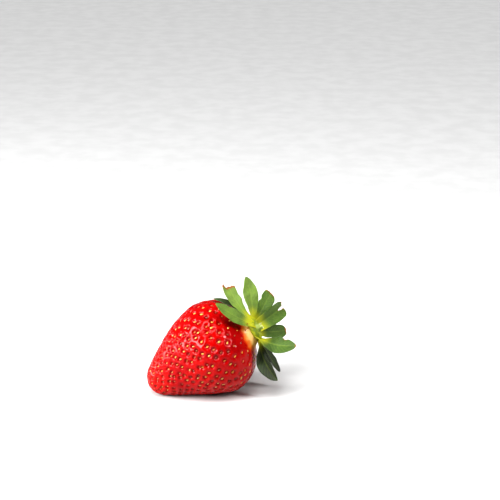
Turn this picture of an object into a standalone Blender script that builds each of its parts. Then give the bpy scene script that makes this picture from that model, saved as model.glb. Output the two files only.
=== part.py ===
"""A ripe strawberry as picked, lying on the flat spot that its own weight presses into its flank.

Metres, +Z up. The origin is the middle of the flat spot, and +X runs along the fruit towards its calyx.
The fleshy body is one piece. The calyx is a hub with a stub of stem and a ring of separate sepals.
"""

import math
from collections import namedtuple

import bmesh
import bpy
from mathutils import Matrix, Vector

MM = 0.001
GAP = 0.0003  # between pieces that touch

# The fleshy body: a round outline along an axis that climbs at the angle of the flank it lies on.
TIP = Vector((-0.01605, -0.00275, 0.0031))
AXIS_TILT = math.radians(30.5)
TIP_HEADING = math.radians(9)
AXIS_TURN = math.radians(-16)  # the neck leans towards -Y
AXIS_DROOP = math.radians(-3)  # and down a little
BEND_STARTS = 0.25  # share of the axis that stays straight
OUTLINE_MM = (  # distance along the axis from the tip, and radius
    (0.0, 0.0),
    (1.3, 4.3),
    (4.6, 7.3),
    (12.6, 12.0),
    (20.8, 16.4),
    (29.6, 19.35),
    (34.1, 19.4),
    (38.4, 18.2),
    (42.3, 15.5),
    (44.9, 11.8),
    (46.5, 7.9),
    (49.0, 5.2),
)
OUTLINE_STEPS = 3  # rings for each stretch of the outline
TIP_CAP_RADIUS = 0.6 * MM
BODY_BEVEL_RESOLUTION = 16
FLOOR_BLOCK_SIZE = 0.1

# The calyx, in its own frame: Z points out of the neck, and X is level and towards -Y, so an
# azimuth of 90 degrees is down.
HUB_RADIUS = 4.6 * MM
HUB_THICKNESS = 2.2 * MM
HUB_ROUNDING = 0.6 * MM
HUB_SIDES = 32
STUB_RADIUS = 1.4 * MM
STUB_LENGTH = 2.0 * MM
STUB_TAPER = 0.85
STUB_SIDES = 12
STUB_ROUNDING = 0.2 * MM

# Sepals: two whorls, one above the other on the rim of the hub.
SEPAL_THICKNESS = 0.5 * MM
SEPAL_TIP_WIDTH = 0.4 * MM
SEPAL_ROWS = 12
SEPAL_COLUMNS = 4
BASE_SHARE = 0.42  # a sepal's width at the hub, as a share of its largest width
LOWER, UPPER = 0.35 * MM, 1.4 * MM  # heights of the two whorls above the neck

# Angles are in degrees and sizes in millimetres. The rise is the sepal's slope out of the plane of
# the hub, and the curl is how much the slope gains by the tip. The sweep turns it sideways, and
# the roll turns its face.
Sepal = namedtuple("Sepal", "name azimuth height length width rise curl sweep roll fold")
SEPALS = (
    Sepal("sepal_over_shoulder", 312, UPPER, 20.0, 5.8, -20, 4, -22, -20, 0.15),
    Sepal("bract_over_crown", 264, LOWER, 17.5, 5.2, -12, -46, 0, -12, 0.10),
    Sepal("sepal_torn", 273, UPPER, 17.5, 7.2, -20, 22, -26, -36, 0.10),
    Sepal("sepal_upright", 236, UPPER, 17.2, 7.2, 20, -12, 26, -40, 0.15),
    Sepal("sepal_blunt", 198, UPPER, 17.3, 6.8, 26, 0, -4, -20, 0.15),
    Sepal("bract_behind", 186, LOWER, 15.2, 3.9, 22, -3, 0, 10, 0.30),
    Sepal("sepal_folded", 161, UPPER, 18.5, 7.5, 36, -13, 0, 0, 0.45),
    Sepal("bract_far", 136, LOWER, 17.0, 6.0, 26, 0, 12, 8, 0.15),
    Sepal("sepal_wide", 66, UPPER, 16.6, 7.8, 34, 36, 0, 50, 0.12),
    Sepal("bract_hanging", 69, LOWER, 19.8, 7.0, -14, 32, 8, 46, 0.45),
    Sepal("bract_low", 101, LOWER, 18.8, 5.0, -6, 10, 4, 14, 0.30),
)


def material(name, colour, roughness):
    made = bpy.data.materials.new(name)
    made.use_nodes = True
    shader = made.node_tree.nodes["Principled BSDF"]
    shader.inputs["Base Color"].default_value = (*colour, 1)
    shader.inputs["Roughness"].default_value = roughness
    shader.inputs["Metallic"].default_value = 0
    return made


def clear_scene():
    for obj in list(bpy.data.objects):
        bpy.data.objects.remove(obj, do_unlink=True)


def collection(name):
    made = bpy.data.collections.new(name)
    bpy.context.scene.collection.children.link(made)
    return made


def add_object(name, data, target, parent=None, look=None):
    made = bpy.data.objects.new(name, data)
    target.objects.link(made)
    made.parent = parent
    if look:
        data.materials.append(look)
    return made


def smooth_through(points, steps):
    """A Catmull-Rom curve through the points. At the first, the outline meets its mirror image."""
    mirrored = (points[1][0], -points[1][1])
    beyond = tuple(2 * b - a for a, b in zip(points[-2], points[-1]))
    ends = (mirrored, *points, beyond)
    found = []
    for spans in zip(ends, ends[1:], ends[2:], ends[3:]):
        for step in range(steps):
            t = step / steps
            found.append(tuple(
                b + 0.5 * t * (c - a + t * (2 * a - 5 * b + 4 * c - d + t * (3 * b - a - 3 * c + d)))
                for a, b, c, d in zip(*spans)
            ))
    return [*found, points[-1]]


def axis_direction(share):
    """The direction of the body's axis at a share of its length."""
    t = max(0.0, (share - BEND_STARTS) / (1 - BEND_STARTS))
    bend = t * t * (3 - 2 * t)
    heading = TIP_HEADING + AXIS_TURN * bend
    tilt = AXIS_TILT + AXIS_DROOP * bend
    return Vector((math.cos(tilt) * math.cos(heading), math.cos(tilt) * math.sin(heading), math.sin(tilt)))


def body_rings():
    """The centre and the radius of each ring of the body, from the tip to the neck."""
    length = OUTLINE_MM[-1][0] * MM
    rings = []
    centre, reached = TIP.copy(), 0.0
    for along, radius in smooth_through(OUTLINE_MM, OUTLINE_STEPS):
        step = along * MM - reached
        centre = centre + step * axis_direction((reached + step / 2) / length)
        reached += step
        rings.append((centre.copy(), max(radius * MM, TIP_CAP_RADIUS)))
    return rings


def as_mesh_object(curve_object, name, target):
    """The curve object's evaluated shape as a mesh object of its own, its caps welded to its side."""
    graph = bpy.context.evaluated_depsgraph_get()
    mesh = bpy.data.meshes.new_from_object(curve_object.evaluated_get(graph))
    made = bpy.data.objects.new(name, mesh)
    made.matrix_world = curve_object.matrix_world
    target.objects.link(made)
    bpy.data.objects.remove(curve_object)
    shape = bmesh.new()
    shape.from_mesh(mesh)
    bmesh.ops.remove_doubles(shape, verts=shape.verts, dist=0.01 * MM)
    bmesh.ops.recalc_face_normals(shape, faces=shape.faces)
    shape.to_mesh(mesh)
    shape.free()
    return made


def make_body(rings, target, cutters):
    """A round tube whose radius follows the outline, cut level where it lies on its flank."""
    curve = bpy.data.curves.new("fruit_body", "CURVE")
    curve.dimensions = "3D"
    curve.bevel_depth = 1.0
    curve.bevel_resolution = BODY_BEVEL_RESOLUTION
    curve.use_fill_caps = True
    spline = curve.splines.new("POLY")
    spline.points.add(len(rings) - 1)
    for point, (centre, radius) in zip(spline.points, rings):
        point.co = (*centre, 1)
        point.radius = radius
    tube = add_object("fruit_tube", curve, target, look=material("red_flesh", (0.62, 0.012, 0.012), 0.3))
    body = as_mesh_object(tube, "fruit_body", target)

    block = bpy.data.meshes.new("floor_block")
    shape = bmesh.new()
    bmesh.ops.create_cube(shape, size=FLOOR_BLOCK_SIZE)
    shape.to_mesh(block)
    shape.free()
    floor = add_object("floor_block", block, cutters)
    floor.location = (0, 0, -FLOOR_BLOCK_SIZE / 2)
    floor.hide_render = True
    floor.display_type = "WIRE"
    cut = body.modifiers.new("flat_spot", "BOOLEAN")
    cut.object = floor
    cut.operation = "DIFFERENCE"
    cut.solver = "EXACT"
    body.data.shade_smooth()
    return body


def make_calyx_frame(neck, out, target):
    """An empty on the neck: Z out of the fruit, X level."""
    side = Vector((out.y, -out.x, 0)).normalized()
    frame = bpy.data.objects.new("calyx_frame", None)
    target.objects.link(frame)
    axes = Matrix((side, out.cross(side), out)).transposed()
    frame.matrix_world = Matrix.Translation(neck + GAP * out) @ axes.to_4x4()
    return frame


def turned_piece(name, bottom_radius, top_radius, height, sides, rounding, look, frame, target):
    mesh = bpy.data.meshes.new(name)
    shape = bmesh.new()
    bmesh.ops.create_cone(
        shape, cap_ends=True, segments=sides, radius1=bottom_radius, radius2=top_radius, depth=height
    )
    bmesh.ops.translate(shape, verts=shape.verts, vec=(0, 0, height / 2))
    shape.to_mesh(mesh)
    shape.free()
    made = add_object(name, mesh, target, frame, look)
    bevel = made.modifiers.new("rounded_rim", "BEVEL")
    bevel.width = rounding
    bevel.segments = 2
    bevel.limit_method = "ANGLE"
    mesh.shade_smooth()
    return made


def make_hub(frame, target):
    return turned_piece(
        "calyx_hub", HUB_RADIUS, HUB_RADIUS, HUB_THICKNESS, HUB_SIDES, HUB_ROUNDING,
        material("hub_green", (0.42, 0.46, 0.05), 0.5), frame, target,
    )


def make_stub(frame, target):
    stub = turned_piece(
        "stem_stub", STUB_RADIUS, STUB_RADIUS * STUB_TAPER, STUB_LENGTH, STUB_SIDES, STUB_ROUNDING,
        material("stem_green", (0.50, 0.58, 0.25), 0.6), frame, target,
    )
    stub.location.z = HUB_THICKNESS + GAP
    return stub


def half_width(sepal, t):
    """Half the blade's width at the share t of its length: a narrow base, a full middle, a point."""
    blade = BASE_SHARE * (1 - t) ** 2 + 2.9 * t * (1 - t) ** 0.75
    return max(sepal.width * MM * blade, SEPAL_TIP_WIDTH) / 2


def sepal_points(sepal):
    """Rows of points across the blade, from the hub to the tip, in a frame with X away from the hub."""
    step = sepal.length * MM / SEPAL_ROWS
    middle = Vector((HUB_RADIUS + GAP, 0, 0))
    roll = math.radians(sepal.roll)
    rows = []
    for row in range(SEPAL_ROWS + 1):
        t = row / SEPAL_ROWS
        slope = math.radians(sepal.rise + sepal.curl * t)
        turn = math.radians(sepal.sweep) * t
        level = math.cos(slope)
        along = Vector((level * math.cos(turn), level * math.sin(turn), math.sin(slope)))
        across = Vector((-math.sin(turn), math.cos(turn), 0))
        face = along.cross(across)
        rolled = roll * min(1, 2 * t)
        across, face = (
            across * math.cos(rolled) + face * math.sin(rolled),
            face * math.cos(rolled) - across * math.sin(rolled),
        )
        half = half_width(sepal, t)
        rows.append([
            middle + across * half * v + face * half * sepal.fold * abs(v)
            for v in (2 * column / SEPAL_COLUMNS - 1 for column in range(SEPAL_COLUMNS + 1))
        ])
        middle = middle + along * step
    return rows


def make_sepal(sepal, look, frame, target):
    """A thin leaf: the grid of its blade, thickened evenly."""
    shape = bmesh.new()
    rows = [[shape.verts.new(point) for point in row] for row in sepal_points(sepal)]
    for near, far in zip(rows, rows[1:]):
        for column in range(SEPAL_COLUMNS):
            shape.faces.new((near[column], far[column], far[column + 1], near[column + 1]))
    mesh = bpy.data.meshes.new(sepal.name)
    shape.to_mesh(mesh)
    shape.free()
    made = add_object(sepal.name, mesh, target, frame, look)
    made.location.z = sepal.height
    made.rotation_euler.z = math.radians(sepal.azimuth)
    leaf = made.modifiers.new("leaf_thickness", "SOLIDIFY")
    leaf.thickness = SEPAL_THICKNESS
    leaf.offset = 0
    mesh.shade_smooth()
    return made


def main():
    clear_scene()
    parts = collection("strawberry")
    cutters = collection("cutters")
    rings = body_rings()
    make_body(rings, parts, cutters)
    frame = make_calyx_frame(rings[-1][0], axis_direction(1.0), parts)
    make_hub(frame, parts)
    make_stub(frame, parts)
    leaf_green = material("leaf_green", (0.16, 0.30, 0.05), 0.55)
    for sepal in SEPALS:
        make_sepal(sepal, leaf_green, frame, parts)


main()
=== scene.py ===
"""The looks of a ripe strawberry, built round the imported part.

Metres, +Z up, in the part's own frame: the origin is the middle of the flat spot that the fruit
rests on, and +X runs along the fruit towards its calyx.
"""

import math
from collections import namedtuple

import bmesh
import bpy
import numpy as np
from mathutils import Matrix, Vector, noise
from mathutils.kdtree import KDTree


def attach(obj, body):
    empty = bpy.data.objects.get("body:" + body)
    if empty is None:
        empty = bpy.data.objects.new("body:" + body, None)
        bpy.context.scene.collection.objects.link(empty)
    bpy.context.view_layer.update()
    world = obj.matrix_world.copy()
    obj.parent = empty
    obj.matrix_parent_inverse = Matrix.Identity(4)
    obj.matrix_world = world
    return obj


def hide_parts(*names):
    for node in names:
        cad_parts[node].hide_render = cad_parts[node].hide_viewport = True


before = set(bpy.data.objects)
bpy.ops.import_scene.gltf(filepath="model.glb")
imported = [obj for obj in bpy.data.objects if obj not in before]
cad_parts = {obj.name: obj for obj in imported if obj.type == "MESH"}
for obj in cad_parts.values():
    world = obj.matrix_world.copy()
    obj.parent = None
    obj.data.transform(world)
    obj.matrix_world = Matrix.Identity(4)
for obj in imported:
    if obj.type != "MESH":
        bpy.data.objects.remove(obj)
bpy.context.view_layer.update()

MM = 0.001

# The fleshy body: a round outline along an axis that climbs at the angle of the flank it lies on.
TIP = Vector((-0.01605, -0.00275, 0.0031))
AXIS_TILT = math.radians(30.5)
TIP_HEADING = math.radians(9)
AXIS_TURN = math.radians(-16)
AXIS_DROOP = math.radians(-3)
BEND_STARTS = 0.25
OUTLINE_MM = (  # distance along the axis from the tip, and radius
    (0.0, 0.0),
    (1.3, 4.3),
    (4.6, 7.3),
    (12.6, 12.0),
    (20.8, 16.4),
    (29.6, 19.35),
    (34.1, 19.4),
    (38.4, 18.2),
    (42.3, 15.5),
    (44.9, 11.8),
    (46.5, 7.9),
    (49.0, 5.2),
)
NECK_CAP_MM = ((49.3, 4.5), (49.4, 3.0), (49.4, 0.0))  # the top of the neck, under the hub
OUTLINE_STEPS = 24
PATCH_STEPS = 127  # faces along each side of the body's six square patches
FLAT_SPOT_SOFTNESS = 0.5 * MM
NECK_END = OUTLINE_MM[-1][0] * MM

# Pits in the skin, one for each seed, in a spiral.
GOLDEN_ANGLE = math.radians(137.508)
PIT_SPACING_MM = ((0.0, 2.6), (12.0, 2.9), (20.0, 3.2), (34.0, 3.9), (42.0, 4.0), (49.0, 4.0))
PITS_END = 46.3 * MM
PIT_FADE = (38 * MM, 46.5 * MM)  # along the axis, where the pits grow shallow
PIT_CELL_AREA = 0.866  # of one pit, where the spacing is 1
PIT_RADIUS_SHARE = 0.34  # of the spacing
PIT_RADIUS_RANGE = (0.88, 1.1)
PIT_DEPTH = 0.66 * MM
PIT_DEPTH_RANGE = (0.85, 1.12)
PIT_DEPTH_NEAR_TIP = ((0, 6 * MM), (0.75, 1))  # distances along the axis, and shares of the depth
PIT_JITTER = 0.13
PIT_JITTER_RADIUS = 22 * MM  # turns a distance on the skin into a polar angle
PIT_POLAR_LIMITS = (0.02, 3.1)
BOWL_EDGE = (0.3, 1.1)  # where a pit's side starts and ends, as shares of its radius
CREST_HEIGHT = 0.09 * MM  # of the ridges between pits
CREST_WIDTH = 0.35
BROAD_LUMP_HEIGHT, BROAD_LUMP_SIZE = 0.22 * MM, 9 * MM
FINE_LUMP_HEIGHT, FINE_LUMP_SIZE = 0.05 * MM, 2.2 * MM
SMOOTH_NECK = 3 * MM  # over which the relief fades towards the hub

# The pale patch round the neck, which runs further down on one side.
PALE_STARTS, PALE_ENDS = 44.3 * MM, 50.5 * MM
PALE_LEAN = 1.2 * MM
PALE_SIDE = math.radians(60)

# Seeds, one in each pit.
SEED_HALF = (0.62 * MM, 0.34 * MM, 0.26 * MM)
SEED_RINGS, SEED_SIDES = 8, 10
SEED_PIT_RADIUS = 1.2 * MM  # the pit in which a seed has its full size
SEED_SIZE_RANGE = (0.85, 1.12)
SEED_SPIN, SEED_NOD = 0.3, 0.14  # how much its direction strays, in radians
SEED_PROUD = 0.05 * MM  # how far its middle lies above the pit's floor
SEED_LEAST_DEPTH = 0.1 * MM
SEED_LEAST_HEIGHT = 0.5 * MM  # above the surface that the fruit lies on

# The calyx, in its own frame: Z points out of the neck, and X is level and towards -Y, so an
# azimuth of 90 degrees is down.
GAP = 0.3 * MM
HUB_RADIUS = 4.6 * MM
LOWER, UPPER = 0.35 * MM, 1.4 * MM
SEPAL_THICKNESS = 0.5 * MM
SEPAL_ROWS = 84
SEPAL_COLUMNS = 34
ROOT_SHARE = -0.12  # how far a sepal's root runs back into the hub, as a share of its length
SEPAL_LEAST_WIDTH = 0.12 * MM
MIDLINE_POINTS = 200
RIB_WIDTH, RIB_DEPTH, RIB_KEEL = 0.09, 0.11 * MM, 0.16 * MM
VEINS, VEIN_SLANT, VEIN_WIDTH = 11, 2.6, 0.13
WAVE_HEIGHT = 0.55 * MM
RUFFLE_HEIGHT = 0.16 * MM
BITE_PLACE = 0.66  # of the length
DRY_REACH = 0.9  # how far the brown runs in from the tip, in millimetres

# Angles are in degrees and sizes in millimetres. The rise is the sepal's slope out of the plane of
# the hub, and the curl is how much the slope gains by the tip. The sweep turns it sideways, and
# the roll turns its face. Fold is how far the halves close along the midrib.
# Base is the width at the hub, as a share. Taper is how soon the blade narrows: a small one keeps
# the tip square, and 0.75 makes it pointed. Cut names the shape of the tip or edge.
# How light the green is, from 0 to 1, is painted light and shade: lit sepals light, shaded ones
# dark; dry is how brown the tip is.
Sepal = namedtuple(
    "Sepal", "name azimuth height length width rise curl sweep roll fold base taper cut tone dry"
)
SEPALS = (
    Sepal(
        "sepal_over_shoulder", 312, UPPER, 20.0, 5.8, -20, 4, -22, -20,
        0.15, 0.62, 0.75, "whole", 0.62, 0.3,
    ),
    Sepal(
        "bract_over_crown", 264, LOWER, 17.0, 3.8, -12, -46, 0, -12,
        0.10, 0.5, 0.7, "whole", 0.1, 0.5,
    ),
    Sepal(
        "sepal_torn", 273, UPPER, 17.5, 7.2, -20, 22, -26, -36,
        0.10, 0.45, 0.22, "torn", 0.8, 1.8,
    ),
    Sepal(
        "sepal_upright", 236, UPPER, 17.2, 7.2, 20, -12, 26, -40,
        0.15, 0.62, 0.75, "whole", 0.74, 0.3,
    ),
    Sepal(
        "sepal_blunt", 198, UPPER, 17.3, 6.8, 26, 0, -4, -20,
        0.15, 0.65, 0.28, "nicked", 0.4, 1.0,
    ),
    Sepal(
        "bract_behind", 180, LOWER, 16.4, 3.9, 24, -3, 0, 10,
        0.30, 0.5, 0.6, "whole", 0.15, 0.3,
    ),
    Sepal(
        "sepal_folded", 174, UPPER, 17.8, 7.5, 36, -13, 0, 0,
        0.75, 0.75, 0.4, "split", 0.35, 0.9,
    ),
    Sepal(
        "bract_far", 142, LOWER, 17.0, 6.0, 26, 0, 12, 8,
        0.15, 0.6, 0.4, "whole", 0.25, 1.2,
    ),
    Sepal(
        "sepal_wide", 66, UPPER, 15.7, 8.2, 39, 36, 0, 50,
        0.12, 0.95, 0.7, "bitten", 0.22, 0.6,
    ),
    Sepal(
        "bract_hanging", 69, LOWER, 18.5, 7.8, -14, 32, 8, 74,
        0.7, 0.4, 0.75, "lopsided", 0.02, 0.3,
    ),
    Sepal(
        "bract_low", 100, LOWER, 18.4, 5.4, -5, 10, 4, 14,
        0.30, 0.5, 0.7, "whole", 0.0, 0.3,
    ),
)


def smoothstep(low, high, x):
    t = np.clip((x - low) / (high - low), 0, 1)
    return t * t * (3 - 2 * t)


def smooth_through(points, steps):
    """A Catmull-Rom curve through the points. At the first, the outline meets its mirror image."""
    mirrored = (points[1][0], -points[1][1])
    beyond = tuple(2 * b - a for a, b in zip(points[-2], points[-1]))
    ends = (mirrored, *points, beyond)
    found = []
    for spans in zip(ends, ends[1:], ends[2:], ends[3:]):
        for step in range(steps):
            t = step / steps
            found.append(tuple(
                b + t / 2 * (c - a + t * (2 * a - 5 * b + 4 * c - d + t * (3 * b - a - 3 * c + d)))
                for a, b, c, d in zip(*spans)
            ))
    return [*found, points[-1]]


def axis_direction(share):
    t = min(1.0, max(0.0, (share - BEND_STARTS) / (1 - BEND_STARTS)))
    bend = t * t * (3 - 2 * t)
    heading = TIP_HEADING + AXIS_TURN * bend
    tilt = AXIS_TILT + AXIS_DROOP * bend
    level = math.cos(tilt)
    return Vector((level * math.cos(heading), level * math.sin(heading), math.sin(tilt)))


def level_side(out):
    return Vector((out.y, -out.x, 0)).normalized()


class BodySurface:
    """The smooth skin of the fruit, without its pits.

    A place on it is a polar angle, 0 at the tip and pi on the neck, and a turn about the axis.
    """

    def __init__(self):
        outline = np.array(smooth_through((*OUTLINE_MM, *NECK_CAP_MM), OUTLINE_STEPS)) * MM
        self.along, self.radius = outline[:, 0], np.maximum(outline[:, 1], 0)
        centre, reached = TIP.copy(), 0.0
        centres, outs, sides, downs = [], [], [], []
        for along in self.along.tolist():
            step = along - reached
            out = axis_direction((reached + step / 2) / NECK_END)
            centre = centre + step * out
            reached = along
            side = level_side(out)
            centres.append(centre)
            outs.append(out)
            sides.append(side)
            downs.append(out.cross(side))
        self.centres, self.sides, self.downs = (np.array(a) for a in (centres, sides, downs))
        self.neck_centre = Vector(centres[self.index_at(NECK_END)])
        self.neck_out = axis_direction(1.0)
        stretch = np.hypot(np.diff(self.along), np.diff(self.radius))
        band = math.pi * (self.radius[1:] + self.radius[:-1]) * stretch
        area = np.concatenate([[0], np.cumsum(band)])
        self.polar = np.arccos(np.clip(1 - 2 * area / area[-1], -1, 1))
        spacing = np.interp(self.along, *(np.array(PIT_SPACING_MM) * MM).T)
        per_band = band / (PIT_CELL_AREA * ((spacing[1:] + spacing[:-1]) / 2) ** 2)
        self.pit_count = np.concatenate([[0], np.cumsum(per_band)])

    def index_at(self, along):
        return int(np.argmin(abs(self.along - along)))

    def points(self, polar, turn):
        def read(values):
            return np.stack([np.interp(polar, self.polar, values[:, i]) for i in range(3)], axis=1)

        radius = np.interp(polar, self.polar, self.radius)[:, None]
        made = read(self.centres) + radius * (
            np.cos(turn)[:, None] * read(self.sides) + np.sin(turn)[:, None] * read(self.downs)
        )
        height = made[:, 2]
        made[:, 2] = (height + np.sqrt(height ** 2 + FLAT_SPOT_SOFTNESS ** 2)) / 2
        return made

    def along_at(self, polar):
        return np.interp(polar, self.polar, self.along)


def cube_sphere(steps):
    """Unit directions on six square patches, their quads, and each quad corner's place on a map."""
    grid = np.tan(np.linspace(-math.pi / 4, math.pi / 4, steps + 1))
    u, v = np.meshgrid(grid, grid, indexing="ij")
    row, column = np.meshgrid(np.arange(steps), np.arange(steps), indexing="ij")
    start = (row * (steps + 1) + column).ravel()
    corners = np.stack([start, start + steps + 1, start + steps + 2, start + 1], axis=1)
    margin = 0.01
    map_u, map_v = np.meshgrid(*[np.linspace(margin, 1 - margin, steps + 1)] * 2, indexing="ij")
    directions, quads, places = [], [], []
    for patch in range(6):
        normal = np.zeros(3)
        normal[patch // 2] = 1 - 2 * (patch % 2)
        first = np.roll(abs(normal), 1)
        second = np.cross(normal, first)
        made = normal + u[..., None] * first + v[..., None] * second
        directions.append(made.reshape(-1, 3))
        quads.append(corners + patch * (steps + 1) ** 2)
        place = np.stack([(patch % 3 + map_u) / 3, (patch // 3 + map_v) / 2], axis=-1)
        places.append(place.reshape(-1, 2))
    directions = np.concatenate(directions)
    directions /= np.linalg.norm(directions, axis=1, keepdims=True)
    quads = np.concatenate(quads)
    places = np.concatenate(places)[quads].reshape(-1, 2)
    _, kept, index = np.unique(
        np.round(directions, 7), axis=0, return_index=True, return_inverse=True
    )
    return directions[kept], index.reshape(-1)[quads], places


def mesh_from(name, points, faces):
    mesh = bpy.data.meshes.new(name)
    mesh.from_pydata(points.tolist(), [], faces.tolist())
    mesh.validate()
    mesh.update()
    return mesh


def add_values(mesh, **values):
    for name, data in values.items():
        attribute = mesh.attributes.new(name, "FLOAT", "POINT")
        attribute.data.foreach_set("value", np.asarray(data, np.float32))


def add_piece(name, mesh, look, slot, *nodes):
    made = bpy.data.objects.new(name, mesh)
    bpy.context.scene.collection.objects.link(made)
    mesh.materials.append(look)
    mesh.shade_smooth()
    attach(made, "root")
    if nodes:
        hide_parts(*nodes)
    return made


def moved(points, matrix):
    """The points, carried by the matrix."""
    turned = np.array(matrix)
    return points @ turned[:3, :3].T + turned[:3, 3]


def lumps(points, size, seed):
    """Smooth noise from -1 to 1 at the points, its lumps about that size."""
    shift = Vector((seed * 7.31, seed * 3.17, seed * 5.77))
    return np.array([noise.noise(Vector(p) / size + shift) for p in points])


# Materials.

def linear(*colour):
    """A colour given in the 0 to 255 of a screen, as the renderer reads it."""
    shares = [c / 255 for c in colour]
    return (*[c / 12.92 if c <= 0.04045 else ((c + 0.055) / 1.055) ** 2.4 for c in shares], 1)


MIX_COLOUR_INPUTS = (0, 6, 7)  # the Mix node's sockets for a share and two colours
MIX_COLOUR_OUTPUT = 2


class Look:
    """A material's nodes, added one at a time."""

    def __init__(self, name):
        self.material = bpy.data.materials.new(name)
        self.material.use_nodes = True
        self.tree = self.material.node_tree
        self.shader = self.tree.nodes.get("Principled BSDF")

    def node(self, kind, **settings):
        made = self.tree.nodes.new(kind)
        for name, value in settings.items():
            setattr(made, name, value)
        return made

    def feed(self, socket, value):
        if isinstance(value, bpy.types.NodeSocket):
            self.tree.links.new(value, socket)
        else:
            socket.default_value = value

    def value(self, name):
        return self.node("ShaderNodeAttribute", attribute_name=name).outputs["Fac"]

    def noise(self, scale, detail=3.0, roughness=0.55, stretch=None):
        where = self.node("ShaderNodeTexCoord").outputs["Object"]
        if stretch:
            mapping = self.node("ShaderNodeMapping")
            mapping.inputs["Scale"].default_value = stretch
            self.feed(mapping.inputs["Vector"], where)
            where = mapping.outputs["Vector"]
        made = self.node("ShaderNodeTexNoise")
        self.feed(made.inputs["Vector"], where)
        made.inputs["Scale"].default_value = scale
        made.inputs["Detail"].default_value = detail
        made.inputs["Roughness"].default_value = roughness
        return made.outputs["Fac"]

    def math(self, operation, *values):
        made = self.node("ShaderNodeMath", operation=operation)
        for socket, value in zip(made.inputs, values):
            self.feed(socket, value)
        return made.outputs["Value"]

    def span(self, value, low, high, start=0.0, end=1.0):
        made = self.node("ShaderNodeMapRange", interpolation_type="SMOOTHSTEP")
        for socket, number in zip(made.inputs, (value, low, high, start, end)):
            self.feed(socket, number)
        return made.outputs["Result"]

    def mix(self, share, a, b):
        made = self.node("ShaderNodeMix", data_type="RGBA")
        for place, value in zip(MIX_COLOUR_INPUTS, (share, a, b)):
            self.feed(made.inputs[place], value)
        return made.outputs[MIX_COLOUR_OUTPUT]

    def ramp(self, value, *stops):
        made = self.node("ShaderNodeValToRGB")
        self.feed(made.inputs["Fac"], value)
        elements = made.color_ramp.elements
        while len(elements) < len(stops):
            elements.new(1.0)
        for element, (place, colour) in zip(elements, stops):
            element.position = place
            element.color = colour
        return made.outputs["Color"]

    def bump(self, height, distance, strength):
        made = self.node("ShaderNodeBump")
        made.inputs["Strength"].default_value = strength
        made.inputs["Distance"].default_value = distance
        self.feed(made.inputs["Height"], height)
        return made.outputs["Normal"]

    def set(self, **values):
        for name, value in values.items():
            self.feed(self.shader.inputs[name.replace("_", " ")], value)


def fruit_look():
    look = Look("ripe_red_skin")
    pit, along, neck = look.value("pit"), look.value("along"), look.value("neck")
    broad = look.noise(70, detail=2)
    fine = look.noise(900, detail=4)
    red = look.mix(look.span(broad, 0.35, 0.65), linear(140, 0, 6), linear(156, 3, 2))
    red = look.mix(look.span(along, 0.0, 0.3, 0.55, 0.0), red, linear(180, 20, 4))
    flecks = look.math("MULTIPLY", look.span(fine, 0.45, 0.75), 0.25)
    red = look.mix(flecks, red, linear(178, 18, 12))
    # Painted shade: the skin is painted darker maroon down in each pit, where shade falls.
    red = look.mix(look.math("MULTIPLY", pit, 0.6), red, linear(112, 0, 3))
    streaks = look.noise(420, stretch=(0.35, 1, 1))
    around_neck = look.math("ADD", neck, look.math("MULTIPLY", streaks, 0.5))
    gloss = look.span(fine, 0.3, 0.7, 0.11, 0.19)
    pale = look.ramp(
        around_neck,
        (0.34, (0, 0, 0, 1)),
        (0.62, (0.5, 0.5, 0.5, 1)),
        (0.95, (1, 1, 1, 1)),
    )
    orange_to_cream = look.ramp(
        around_neck,
        (0.40, linear(170, 14, 4)),
        (0.60, linear(186, 66, 12)),
        (0.80, linear(196, 124, 52)),
        (0.98, linear(206, 172, 112)),
    )
    colour = look.mix(look.span(pale, 0.25, 0.6), red, orange_to_cream)
    look.set(
        Base_Color=colour,
        Roughness=look.math("ADD", gloss, look.math("MULTIPLY", neck, 0.5)),
        Normal=look.bump(look.noise(1500, detail=3), 0.00003, 0.5),
        Subsurface_Weight=0.08,
        Subsurface_Radius=(1.0, 0.08, 0.05),
        Subsurface_Scale=0.002,
        Specular_IOR_Level=0.16,
        Coat_Weight=0.12,
        Coat_Roughness=0.06,
    )
    return look.material


def seed_look():
    look = Look("golden_seed")
    hue = look.value("hue")
    colour = look.ramp(
        hue,
        (0.0, linear(108, 26, 8)),
        (0.35, linear(166, 84, 20)),
        (0.7, linear(196, 146, 48)),
        (1.0, linear(204, 182, 100)),
    )
    grain = look.noise(4000, detail=2)
    look.set(
        Base_Color=look.mix(look.span(grain, 0.3, 0.8, 0.0, 0.35), colour, linear(110, 42, 12)),
        Roughness=look.span(grain, 0.3, 0.7, 0.25, 0.45),
        Normal=look.bump(grain, 0.00004, 0.6),
        Coat_Weight=0.4,
        Coat_Roughness=0.15,
    )
    return look.material


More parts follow.
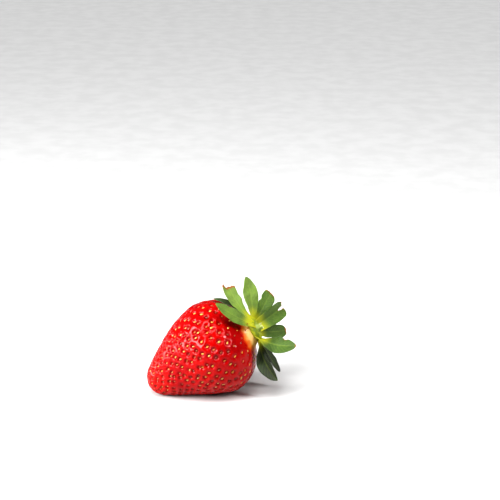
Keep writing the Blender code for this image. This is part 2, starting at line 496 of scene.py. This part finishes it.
def leaf_look():
    look = Look("sepal_green")
    tone, root, rib, dry, under = (look.value(n) for n in ("tone", "root", "rib", "dry", "under"))
    mottle = look.noise(1300, detail=4, roughness=0.65)
    patches = look.noise(160, detail=2)
    # Painted light and shade: each sepal's green runs from near black to light as it stands in
    # shade or lit, and its flecks and pale back fade with it.
    green = look.ramp(
        tone,
        (0.0, linear(14, 20, 5)),
        (0.2, linear(58, 84, 22)),
        (0.5, linear(84, 112, 30)),
        (1.0, linear(126, 150, 58)),
    )
    lit = look.span(tone, 0.0, 0.5, 0.12, 1.0)
    darker = look.mix(look.span(patches, 0.35, 0.65, 0.0, 0.45), green, linear(40, 62, 14))
    flecks = look.math("MULTIPLY", look.span(mottle, 0.4, 0.7, 0.0, 0.22), lit)
    green = look.mix(flecks, darker, linear(142, 160, 80))
    pale_back = look.math("MULTIPLY", look.math("MULTIPLY", under, 0.25), lit)
    green = look.mix(pale_back, green, linear(112, 132, 62))
    green = look.mix(look.math("MULTIPLY", rib, 0.26), green, linear(150, 168, 72))
    green = look.mix(root, green, linear(164, 164, 10))
    edge = look.math("ADD", dry, look.math("MULTIPLY", look.math("SUBTRACT", mottle, 0.5), 0.5))
    colour = look.mix(look.span(edge, 0.35, 0.65), green, linear(132, 82, 30))
    look.set(
        Base_Color=colour,
        Roughness=look.span(mottle, 0.3, 0.7, 0.5, 0.68),
        Normal=look.bump(mottle, 0.00008, 0.6),
        Subsurface_Weight=0.1,
        Subsurface_Radius=(0.5, 1.0, 0.2),
        Subsurface_Scale=0.001,
        Sheen_Weight=0.12,
        Sheen_Roughness=0.4,
    )
    return look.material


def hub_look():
    look = Look("hub_yellow_green")
    dimple, top = look.value("dimple"), look.value("top")
    grain = look.noise(900, detail=3)
    colour = look.mix(look.span(grain, 0.3, 0.7), linear(122, 132, 12), linear(156, 158, 20))
    colour = look.mix(top, colour, linear(150, 162, 70))
    # Painted shade: the notches between the sepal roots are painted dark green, where shade falls.
    colour = look.mix(look.math("MULTIPLY", dimple, 0.6), colour, linear(60, 92, 8))
    look.set(
        Base_Color=colour,
        Roughness=look.span(grain, 0.3, 0.7, 0.4, 0.6),
        Normal=look.bump(grain, 0.0001, 0.6),
        Subsurface_Weight=0.1,
        Subsurface_Radius=(0.8, 1.0, 0.3),
        Subsurface_Scale=0.001,
    )
    return look.material


def stem_look():
    look = Look("torn_stem")
    torn = look.value("torn")
    fibres = look.noise(1200, detail=3)
    colour = look.mix(look.span(fibres, 0.3, 0.7), linear(122, 142, 56), linear(166, 176, 106))
    colour = look.mix(torn, colour, linear(196, 194, 142))
    look.set(
        Base_Color=colour,
        Roughness=look.span(fibres, 0.3, 0.7, 0.5, 0.75),
        Normal=look.bump(fibres, 0.0001, 0.7),
    )
    return look.material


def thread_look():
    look = Look("dry_stamen")
    grain = look.noise(2500, detail=2)
    tip = look.value("tip")
    colour = look.mix(look.span(grain, 0.3, 0.7), linear(150, 88, 28), linear(176, 124, 56))
    look.set(
        Base_Color=look.mix(tip, colour, linear(100, 48, 16)),
        Roughness=look.span(grain, 0.3, 0.7, 0.55, 0.8),
    )
    return look.material


def floor_look():
    look = Look("pale_floor")
    grain = look.noise(60, detail=2)
    colour = look.mix(look.span(grain, 0.3, 0.7), linear(192, 192, 192), linear(198, 198, 198))
    look.set(Base_Color=colour, Roughness=0.85)
    return look.material


# The fruit and its seeds.

def pit_places(surface, rng):
    """The polar angle, the turn, the radius and the depth of each pit."""
    last = int(np.interp(PITS_END, surface.along, surface.pit_count))
    number = np.arange(last) + 0.5
    polar = np.interp(number, surface.pit_count, surface.polar)
    along = surface.along_at(polar)
    spacing = np.interp(along, *(np.array(PIT_SPACING_MM) * MM).T)
    radius = np.interp(polar, surface.polar, surface.radius)
    turn_jitter = rng.normal(0, PIT_JITTER, last) * spacing / np.maximum(radius, spacing)
    turn = number * GOLDEN_ANGLE + turn_jitter
    polar = polar + rng.normal(0, PIT_JITTER, last) * spacing / PIT_JITTER_RADIUS
    size = spacing * PIT_RADIUS_SHARE * rng.uniform(*PIT_RADIUS_RANGE, last)
    depth = PIT_DEPTH * (1 - smoothstep(*PIT_FADE, along)) * rng.uniform(*PIT_DEPTH_RANGE, last)
    depth *= np.interp(along, *PIT_DEPTH_NEAR_TIP)
    return np.clip(polar, *PIT_POLAR_LIMITS), turn, size, depth


def make_fruit(surface, pits):
    directions, quads, places = cube_sphere(PATCH_STEPS)
    polar = np.arccos(np.clip(-directions[:, 2], -1, 1))
    turn = np.arctan2(directions[:, 1], directions[:, 0])
    points = surface.points(polar, turn)
    mesh = mesh_from("strawberry_skin", points, quads)
    normals = np.empty(len(points) * 3)
    mesh.vertex_normals.foreach_get("vector", normals)
    normals = normals.reshape(-1, 3)

    pit_polar, pit_turn, pit_size, pit_depth = pits
    centres = surface.points(pit_polar, pit_turn)
    tree = KDTree(len(centres))
    for i, centre in enumerate(centres):
        tree.insert(centre, i)
    tree.balance()
    nearest = [tree.find_n(point, 2) for point in points]
    first = np.array([found[0][1] for found in nearest])
    distance = np.array([[found[0][2], found[1][2]] for found in nearest])
    reach = distance[:, 0] / pit_size[first]
    bowl = 1 - smoothstep(*BOWL_EDGE, reach)
    crest = 1 - smoothstep(0, CREST_WIDTH, (distance[:, 1] - distance[:, 0]) / distance[:, 1])
    fade = pit_depth[first] / PIT_DEPTH
    along = surface.along_at(polar)
    sink = pit_depth[first] * bowl - CREST_HEIGHT * crest * fade
    broad = BROAD_LUMP_HEIGHT * lumps(points, BROAD_LUMP_SIZE, 1)
    sink += broad + FINE_LUMP_HEIGHT * lumps(points, FINE_LUMP_SIZE, 2)
    sink *= smoothstep(NECK_END, NECK_END - SMOOTH_NECK, along)
    points = points - normals * sink[:, None]
    points[:, 2] = np.maximum(points[:, 2], 0)
    mesh.vertices.foreach_set("co", points.ravel())
    mesh.update()
    side = np.cos(turn - PALE_SIDE)
    neck = smoothstep(PALE_STARTS - PALE_LEAN * side, PALE_ENDS, along)
    # The pit value is painted shade for the skin's colour: how deep each pit is, faded towards the
    # neck.
    add_values(mesh, pit=bowl * fade, along=along / NECK_END, neck=neck)
    layer = mesh.uv_layers.new(name="OFBake")
    layer.data.foreach_set("uv", places.ravel())
    return add_piece("fruit_skin", mesh, fruit_look(), "red_flesh", "fruit_body")


def seed_shape():
    """A teardrop along X, pointed at its far end: its points, and its quads and end fans."""
    points, faces = [(-1.0, 0.0, 0.0)], []
    for ring in range(1, SEED_RINGS):
        x = -math.cos(math.pi * ring / SEED_RINGS)
        half = math.sqrt(1 - x * x) * (1 - 0.38 * max(0, x)) * (1 - 0.08 * x)
        for side in range(SEED_SIDES):
            angle = 2 * math.pi * side / SEED_SIDES
            points.append((x, half * math.cos(angle), half * math.sin(angle)))
    points.append((1.12, 0.0, 0.0))
    last = len(points) - 1
    for side in range(SEED_SIDES):
        after = (side + 1) % SEED_SIDES
        faces.append((0, 1 + after, 1 + side))
        for ring in range(SEED_RINGS - 2):
            low, high = 1 + ring * SEED_SIDES, 1 + (ring + 1) * SEED_SIDES
            faces.append((low + side, low + after, high + after, high + side))
        low = 1 + (SEED_RINGS - 2) * SEED_SIDES
        faces.append((low + side, low + after, last))
    return np.array(points), faces


def make_seeds(surface, pits, rng):
    shape, shape_faces = seed_shape()
    polar, turn, size, depth = pits
    centres = surface.points(polar, turn)
    ahead = surface.points(np.minimum(polar + 0.01, 3.12), turn) - centres
    across = surface.points(polar, turn + 0.01) - centres
    points, faces, hues = [], [], []
    for i in range(len(centres)):
        forward = Vector(ahead[i]).normalized()
        normal = Vector(across[i]).cross(forward).normalized()
        sideways = normal.cross(forward)
        spin = Matrix.Rotation(rng.normal(0, SEED_SPIN), 3, normal)
        nod = Matrix.Rotation(rng.normal(0, SEED_NOD), 3, sideways)
        turned = spin @ nod @ Matrix((forward, sideways, normal)).transposed()
        scale = rng.uniform(*SEED_SIZE_RANGE) * size[i] / SEED_PIT_RADIUS
        middle = Vector(centres[i]) - normal * max(depth[i] - SEED_PROUD, SEED_LEAST_DEPTH)
        middle.z = max(middle.z, SEED_LEAST_HEIGHT)
        start = len(points)
        for p in shape * np.array(SEED_HALF) * scale:
            points.append(middle + turned @ Vector(p))
        faces.extend(tuple(start + index for index in face) for face in shape_faces)
        hues.extend([rng.uniform(0, 1)] * len(shape))
    mesh = bpy.data.meshes.new("achenes")
    mesh.from_pydata(points, [], faces)
    mesh.update()
    add_values(mesh, hue=hues)
    return add_piece("achenes", mesh, seed_look(), "seed_gold")


# The calyx.

def half_width(sepal, t):
    """Half the blade's width at each share t of its length."""
    inside = np.clip(t, 0, 1)
    belly = inside * (1 - inside) ** sepal.taper * PEAK[sepal.taper]
    blade = sepal.base * (1 - inside) ** 2 + belly
    return np.maximum(sepal.width * MM * blade, SEPAL_LEAST_WIDTH) / 2


def peak_scale(taper):
    """What brings the widest place of t (1 - t) ** taper to the same width for every taper."""
    t = np.linspace(0.01, 0.99, 99)
    return 0.9 / (t * (1 - t) ** taper).max()


PEAK = {sepal.taper: peak_scale(sepal.taper) for sepal in SEPALS}


def tip_cut(sepal, v, seed):
    """How far along the blade each place v across it reaches, as a share of its length."""
    rough = np.array([noise.noise(Vector((x * 2.6, seed, 0.5))) for x in v])
    if sepal.cut == "torn":
        return 1 - 0.09 * smoothstep(0.95, 0.25, v) + 0.05 * rough * smoothstep(0.8, 0.4, v)
    if sepal.cut == "split":
        return 1 - 0.2 * np.exp(-(v / 0.22) ** 2) - 0.04 * smoothstep(0, 1, v) + 0.02 * rough
    if sepal.cut == "nicked":
        return 1 + 0.03 * rough - 0.03 * v ** 2
    return np.ones_like(v)


def edge_shape(sepal, t, v, seed):
    """The real half width at each place, as a share of the plain blade's."""
    spots = [Vector((x * 7, seed + 20, float(np.sign(y)))) for x, y in zip(t, v)]
    waver = np.array([noise.noise(spot) for spot in spots])
    made = 1 + 0.06 * waver * abs(v)
    if sepal.cut == "nicked":
        made -= 0.16 * np.exp(-((t - 0.62) / 0.05) ** 2) * smoothstep(0.3, 1, v)
    if sepal.cut == "lopsided":
        made -= 0.5 * smoothstep(0.0, 0.25, v)
    if sepal.cut == "bitten":
        made -= 0.2 * np.exp(-((t - BITE_PLACE) / 0.07) ** 2) * smoothstep(0.3, 1, v)
    return made


def midline(sepal):
    """The blade's middle, and its sideways and face directions, at even shares of its length."""
    shares = np.linspace(ROOT_SHARE, 1, MIDLINE_POINTS)
    step = sepal.length * MM * (shares[1] - shares[0])
    slope = np.radians(sepal.rise + sepal.curl * np.maximum(shares, 0))
    turn = np.radians(sepal.sweep) * np.maximum(shares, 0)
    level = np.cos(slope)
    along = np.stack([level * np.cos(turn), level * np.sin(turn), np.sin(slope)], axis=1)
    across = np.stack([-np.sin(turn), np.cos(turn), np.zeros(MIDLINE_POINTS)], axis=1)
    face = np.cross(along, across)
    rolled = np.radians(sepal.roll) * np.clip(2 * shares, 0, 1)[:, None]
    across, face = (
        across * np.cos(rolled) + face * np.sin(rolled),
        face * np.cos(rolled) - across * np.sin(rolled),
    )
    middle = np.cumsum(along * step, axis=0)
    at_hub = np.stack([np.interp(0, shares, middle[:, i]) for i in range(3)])
    return shares, middle - at_hub + np.array([HUB_RADIUS + GAP, 0, 0]), across, face


def make_sepal(sepal, seed, frame_matrix, look):
    shares, middle, across, face = midline(sepal)
    row, column = np.meshgrid(
        np.linspace(0, 1, SEPAL_ROWS + 1), np.linspace(-1, 1, SEPAL_COLUMNS + 1), indexing="ij"
    )
    row, v = row.ravel(), column.ravel()
    columns = np.linspace(-1, 1, SEPAL_COLUMNS + 1)
    reach = np.interp(v, columns, tip_cut(sepal, columns, seed))
    t = ROOT_SHARE + row * (reach - ROOT_SHARE)

    def read(values):
        return np.stack([np.interp(t, shares, values[:, i]) for i in range(3)], axis=1)

    half = half_width(sepal, t) * edge_shape(sepal, t, v, seed)
    side, up = read(across), read(face)
    out = np.clip(t, 0, 1)
    rib = np.exp(-(v / RIB_WIDTH) ** 2) * (1 - 0.5 * out)
    vein_phase = out * VEINS - abs(v) * VEIN_SLANT
    from_vein = (vein_phase - np.round(vein_phase)) / VEIN_WIDTH
    vein = np.exp(-from_vein ** 2) * smoothstep(0.05, 0.3, abs(v))
    vein *= smoothstep(0.05, 0.2, out) * (1 - smoothstep(0.7, 1.0, abs(v)))
    crease = np.sqrt(v ** 2 + 0.01) - 0.1
    spots = [Vector((x * 3.2, y * 0.8, seed + 40)) for x, y in zip(out, v)]
    wave = np.array([noise.noise(spot) for spot in spots])
    lift = half * sepal.fold * crease
    lift += WAVE_HEIGHT * wave * abs(v) ** 1.5 * smoothstep(0.1, 0.4, out)
    ruffle = np.sin(out * 17 + seed) * np.sin(out * 7.3 + 2 * seed)
    lift += RUFFLE_HEIGHT * ruffle * abs(v) ** 2 * np.sign(v)
    middle_surface = read(middle) + side * (half * v)[:, None] + up * lift[:, None]
    closing = np.sqrt(np.clip(1 - v ** 6, 0, 1)) * np.minimum(1, (1 - row) * 14) ** 0.5
    closing *= np.minimum(1, row * 40) ** 0.5
    thick = SEPAL_THICKNESS * 0.5 * closing * (0.75 + 0.25 * np.exp(-(v / 0.3) ** 2))
    top = middle_surface + up * (thick - RIB_DEPTH * closing * (rib + 0.35 * vein))[:, None]
    bottom = middle_surface - up * (thick + RIB_KEEL * closing * (rib + 0.3 * vein))[:, None]

    count = (SEPAL_ROWS + 1) * (SEPAL_COLUMNS + 1)
    index = np.arange(count).reshape(SEPAL_ROWS + 1, SEPAL_COLUMNS + 1)
    corners = (index[:-1, :-1], index[1:, :-1], index[1:, 1:], index[:-1, 1:])
    quads = np.stack(corners, axis=-1).reshape(-1, 4)
    edge = np.zeros((SEPAL_ROWS + 1, SEPAL_COLUMNS + 1), bool)
    edge[0], edge[-1], edge[:, 0], edge[:, -1] = True, True, True, True
    below = np.where(edge.ravel(), np.arange(count), np.arange(count) + count)
    faces = np.concatenate([quads, below[quads][:, ::-1]])
    points = np.concatenate([np.where(edge.ravel()[:, None], middle_surface, top), bottom])
    used = np.zeros(2 * count, bool)
    used[faces] = True
    new_index = np.cumsum(used) - 1
    turn = Matrix.Rotation(math.radians(sepal.azimuth), 4, "Z")
    placed = Matrix.Translation((0, 0, sepal.height)) @ turn
    points = moved(points[used], frame_matrix @ placed)
    mesh = mesh_from(sepal.name, points, new_index[faces])

    ends = (1 - t / reach) * sepal.length
    brown = sepal.dry * np.exp(-(ends / DRY_REACH) ** 2)
    brown += 0.35 * sepal.dry * smoothstep(0.86, 1.0, abs(v)) * smoothstep(0.4, 1, out)
    if sepal.cut == "bitten":
        brown += np.exp(-((t - BITE_PLACE) / 0.08) ** 2) * smoothstep(0.75, 1, v)
    doubled = {
        "tone": np.full(count, sepal.tone),
        "root": 1 - smoothstep(0.04, 0.34, t + 0.06 * abs(v)),
        "rib": np.clip(rib + 0.4 * vein, 0, 1),
        "dry": np.clip(brown, 0, 1),
    }
    values = {name: np.concatenate([data, data])[used] for name, data in doubled.items()}
    add_values(mesh, under=np.repeat([0, 1], count)[used], **values)
    return add_piece(sepal.name + "_leaf", mesh, look, "leaf_green", sepal.name)


HUB_PROFILE_MM = (  # radius and height of the hub's side and top
    (3.4, -0.5), (4.3, -0.3), (4.75, 0.1), (4.95, 0.7), (4.85, 1.4), (4.4, 2.0), (3.6, 2.35),
    (2.8, 2.3), (2.1, 2.0), (1.5, 2.1), (0.9, 2.3), (0.0, 2.3),
)
HUB_SIDES = 144


def turned_points(profile, sides):
    """The angle, radius and height of each point of a profile turned about Z."""
    angle = np.linspace(0, 2 * math.pi, sides, endpoint=False)
    radius, height = np.array(profile).T
    ring = np.repeat(np.arange(len(profile)), sides)
    return np.tile(angle, len(profile)), radius[ring], height[ring]


def ring_faces(rings, sides):
    start = np.arange(rings - 1)[:, None] * sides
    side = np.arange(sides)[None, :]
    after = (side + 1) % sides
    return np.stack(
        [start + side, start + after, start + sides + after, start + sides + side], axis=-1
    ).reshape(-1, 4)


def welded(mesh):
    shape = bmesh.new()
    shape.from_mesh(mesh)
    bmesh.ops.remove_doubles(shape, verts=shape.verts, dist=0.002 * MM)
    bmesh.ops.holes_fill(shape, edges=shape.edges)
    bmesh.ops.recalc_face_normals(shape, faces=shape.faces)
    shape.to_mesh(mesh)
    shape.free()


def make_hub(frame_matrix):
    profile = smooth_through(((-HUB_PROFILE_MM[1][0], 0), *HUB_PROFILE_MM), 5)[5:]
    angle, radius, height = turned_points(profile, HUB_SIDES)
    outer = smoothstep(2.5, 4.4, radius)
    lobes = np.zeros_like(angle)
    for sepal in SEPALS:
        apart = np.angle(np.exp(1j * (angle - math.radians(sepal.azimuth))))
        high = 0.8 if sepal.height == UPPER else 0.15
        lobes = np.maximum(lobes, high * np.exp(-(apart / 0.3) ** 2))
    places = np.stack([radius * np.cos(angle), radius * np.sin(angle), height], axis=1)
    bumps = lumps(places, 0.9, 3)
    radius = radius + outer * (0.45 * lobes - 0.3 + 0.12 * bumps)
    height = height + smoothstep(0.8, 2.2, height) * (outer * (0.5 * lobes - 0.25) + 0.12 * bumps)
    points = np.stack([radius * np.cos(angle), radius * np.sin(angle), height], axis=1) * MM
    mesh = mesh_from("hub", moved(points, frame_matrix), ring_faces(len(profile), HUB_SIDES))
    # The notches between the sepal roots, whose painted shade darkens the hub's colour.
    dimple = outer * (1 - smoothstep(0.02, 0.3, lobes)) * smoothstep(0.9, 1.7, height)
    add_values(mesh, dimple=np.clip(dimple, 0, 1), top=1 - smoothstep(1.6, 3.4, radius))
    welded(mesh)
    return add_piece("calyx_disc", mesh, hub_look(), "hub_green", "calyx_hub")


STUB_PROFILE_MM = (  # up the outside, over the torn rim and down to the pith
    (1.9, 1.9), (1.55, 2.3), (1.4, 2.8), (1.36, 3.4), (1.3, 3.9), (1.18, 4.15),
    (0.98, 4.05), (0.85, 3.6), (0.6, 3.35), (0.3, 3.3), (0.0, 3.35),
)
STUB_SIDES = 48


def make_stub(frame_matrix):
    angle, radius, height = turned_points(STUB_PROFILE_MM, STUB_SIDES)
    tear, jag = (
        np.array([
            noise.noise(Vector((math.cos(a) * size, math.sin(a) * size, seed))) for a in angle
        ])
        for size, seed in ((1.6, 9.0), (5, 3.0))
    )
    rim = smoothstep(2.6, 4.1, height)
    height = height + rim * (0.9 * tear + 0.5 * jag)
    radius = radius * (1 + 0.16 * tear + 0.08 * jag * rim)
    points = np.stack([radius * np.cos(angle), radius * np.sin(angle), height], axis=1) * MM
    faces = ring_faces(len(STUB_PROFILE_MM), STUB_SIDES)
    mesh = mesh_from("stub", moved(points, frame_matrix), faces)
    ring = np.repeat(np.arange(len(STUB_PROFILE_MM)), STUB_SIDES)
    add_values(mesh, torn=smoothstep(4, 6, ring))
    welded(mesh)
    return add_piece("stem_end", mesh, stem_look(), "stem_green", "stem_stub")


THREAD_RADIUS = 0.13 * MM
THREAD_SIDES, THREAD_STEPS = 8, 14
THREAD_COUNT = 16
THREADS_START, THREADS_SPREAD = math.radians(95), math.radians(250)  # azimuths on the hub
THREAD_PLACE_MM = 4.4  # from the middle of the hub
THREAD_LENGTHS = (2.6, 4.6)  # in millimetres
BEAD_PLACE, BEAD_LENGTH = 0.93, 0.06  # of the thickened end, as shares of the thread's length


def make_threads(frame_matrix, rng):
    """Dried stamens that stand out from under the sepals, round the hub."""
    points, faces, tips = [], [], []
    for i in range(THREAD_COUNT):
        share = (i + rng.uniform(-0.35, 0.35)) / THREAD_COUNT
        azimuth = THREADS_START + THREADS_SPREAD * share
        out = Vector((math.cos(azimuth), math.sin(azimuth), 0))
        place = out * THREAD_PLACE_MM * MM + Vector((0, 0, rng.uniform(0.0, 0.5) * MM))
        heading = (out + Vector((0, 0, rng.uniform(-0.35, 0.15)))).normalized()
        bend = Vector((rng.normal(0, 0.06), rng.normal(0, 0.06), rng.uniform(-0.08, 0.05)))
        length = rng.uniform(*THREAD_LENGTHS) * MM
        start = len(points)
        for step in range(THREAD_STEPS + 1):
            share = step / THREAD_STEPS
            side = heading.orthogonal().normalized()
            other = heading.cross(side)
            bead = math.exp(-((share - BEAD_PLACE) / BEAD_LENGTH) ** 2)
            rounding = min(1, (1.02 - share) * 16)
            thick = THREAD_RADIUS * (1 - 0.35 * share + 1.3 * bead) * rounding
            for corner in range(THREAD_SIDES):
                angle = 2 * math.pi * corner / THREAD_SIDES
                points.append(place + (side * math.cos(angle) + other * math.sin(angle)) * thick)
                tips.append(bead)
            place = place + heading * length / THREAD_STEPS
            heading = (heading + bend).normalized()
        made = ring_faces(THREAD_STEPS + 1, THREAD_SIDES) + start
        faces.extend(map(tuple, made.tolist()))
        faces.append(tuple(range(start, start + THREAD_SIDES)))
        end = start + THREAD_STEPS * THREAD_SIDES
        faces.append(tuple(end + corner for corner in reversed(range(THREAD_SIDES))))
    points = moved(np.array(points), frame_matrix)
    mesh = bpy.data.meshes.new("stamens")
    mesh.from_pydata(points.tolist(), [], faces)
    mesh.update()
    add_values(mesh, tip=tips)
    return add_piece("dry_stamens", mesh, thread_look(), "dry_thread")


def calyx_matrix(surface):
    out = surface.neck_out
    side = level_side(out)
    axes = Matrix((side, out.cross(side), out)).transposed()
    return Matrix.Translation(surface.neck_centre + GAP * out) @ axes.to_4x4()


# The room.

CAMERA_TARGET = Vector((0.02545, -0.00275, 0.06217))
CAMERA_ELEVATION = math.radians(18)
CAMERA_LENS, SENSOR = 100, 36
FRAME_WIDTH = 0.2  # what the view takes in at the target
FLOOR_HALF = 8
WORLD_STRENGTH = 0.2
LIGHT_TARGET = Vector((0.008, 0, 0.018))
LIGHT_DISTANCE = 0.5
SOFT_BOXES = (  # name, azimuth from the camera's side and elevation in degrees, size, and power
    ("key", (-62, 28), (0.34, 0.26), 4.4),
    ("strip", (68, 42), (0.06, 0.36), 1.6),
    ("low_left", (-99, 7), (0.10, 0.14), 0.7),
)
OVERHEAD_STRENGTH = 2.2
OVERHEAD_SOFTNESS = math.radians(35)
OVERHEAD_TILT = (math.radians(16), math.radians(-8), 0)


def make_floor():
    mesh = bpy.data.meshes.new("floor")
    shape = bmesh.new()
    bmesh.ops.create_grid(shape, x_segments=8, y_segments=8, size=FLOOR_HALF)
    shape.to_mesh(mesh)
    shape.free()
    mesh.materials.append(floor_look())
    floor = bpy.data.objects.new("floor", mesh)
    bpy.context.scene.collection.objects.link(floor)


def add_soft_box(name, direction, size, power):
    """A rectangular light that faces the fruit."""
    data = bpy.data.lights.new(name, "AREA")
    data.shape = "RECTANGLE"
    data.size, data.size_y = size
    data.energy = power
    made = bpy.data.objects.new(name, data)
    bpy.context.scene.collection.objects.link(made)
    azimuth, elevation = (math.radians(a) for a in direction)
    level = math.cos(elevation)
    towards = Vector((math.sin(azimuth) * level, -math.cos(azimuth) * level, math.sin(elevation)))
    made.location = LIGHT_TARGET + towards * LIGHT_DISTANCE
    made.rotation_euler = towards.to_track_quat("Z", "Y").to_euler()


def make_room():
    world = bpy.data.worlds.new("studio")
    bpy.context.scene.world = world
    world.use_nodes = True
    background = world.node_tree.nodes["Background"]
    background.inputs["Color"].default_value = (1, 1, 1, 1)
    background.inputs["Strength"].default_value = WORLD_STRENGTH
    for soft_box in SOFT_BOXES:
        add_soft_box(*soft_box)
    sun = bpy.data.lights.new("overhead", "SUN")
    sun.energy = OVERHEAD_STRENGTH
    sun.angle = OVERHEAD_SOFTNESS
    overhead = bpy.data.objects.new("overhead", sun)
    bpy.context.scene.collection.objects.link(overhead)
    overhead.rotation_euler = OVERHEAD_TILT


def make_camera():
    data = bpy.data.cameras.new("camera")
    data.lens, data.sensor_width = CAMERA_LENS, SENSOR
    camera = bpy.data.objects.new("camera", data)
    bpy.context.scene.collection.objects.link(camera)
    back = Vector((0, -math.cos(CAMERA_ELEVATION), math.sin(CAMERA_ELEVATION)))
    camera.location = CAMERA_TARGET + back * FRAME_WIDTH * CAMERA_LENS / SENSOR
    camera.rotation_euler = back.to_track_quat("Z", "Y").to_euler()
    bpy.context.scene.camera = camera


SEED = 7

rng = np.random.default_rng(SEED)
body_surface = BodySurface()
pit_list = pit_places(body_surface, rng)
make_fruit(body_surface, pit_list)
make_seeds(body_surface, pit_list, rng)
calyx = calyx_matrix(body_surface)
make_hub(calyx)
make_stub(calyx)
leaf_material = leaf_look()
for sepal_number, sepal_row in enumerate(SEPALS):
    make_sepal(sepal_row, sepal_number, calyx, leaf_material)
make_threads(calyx, rng)

make_floor()
make_room()
make_camera()
bpy.context.scene.view_settings.view_transform = "Standard"
bpy.context.scene.view_settings.look = "High Contrast"
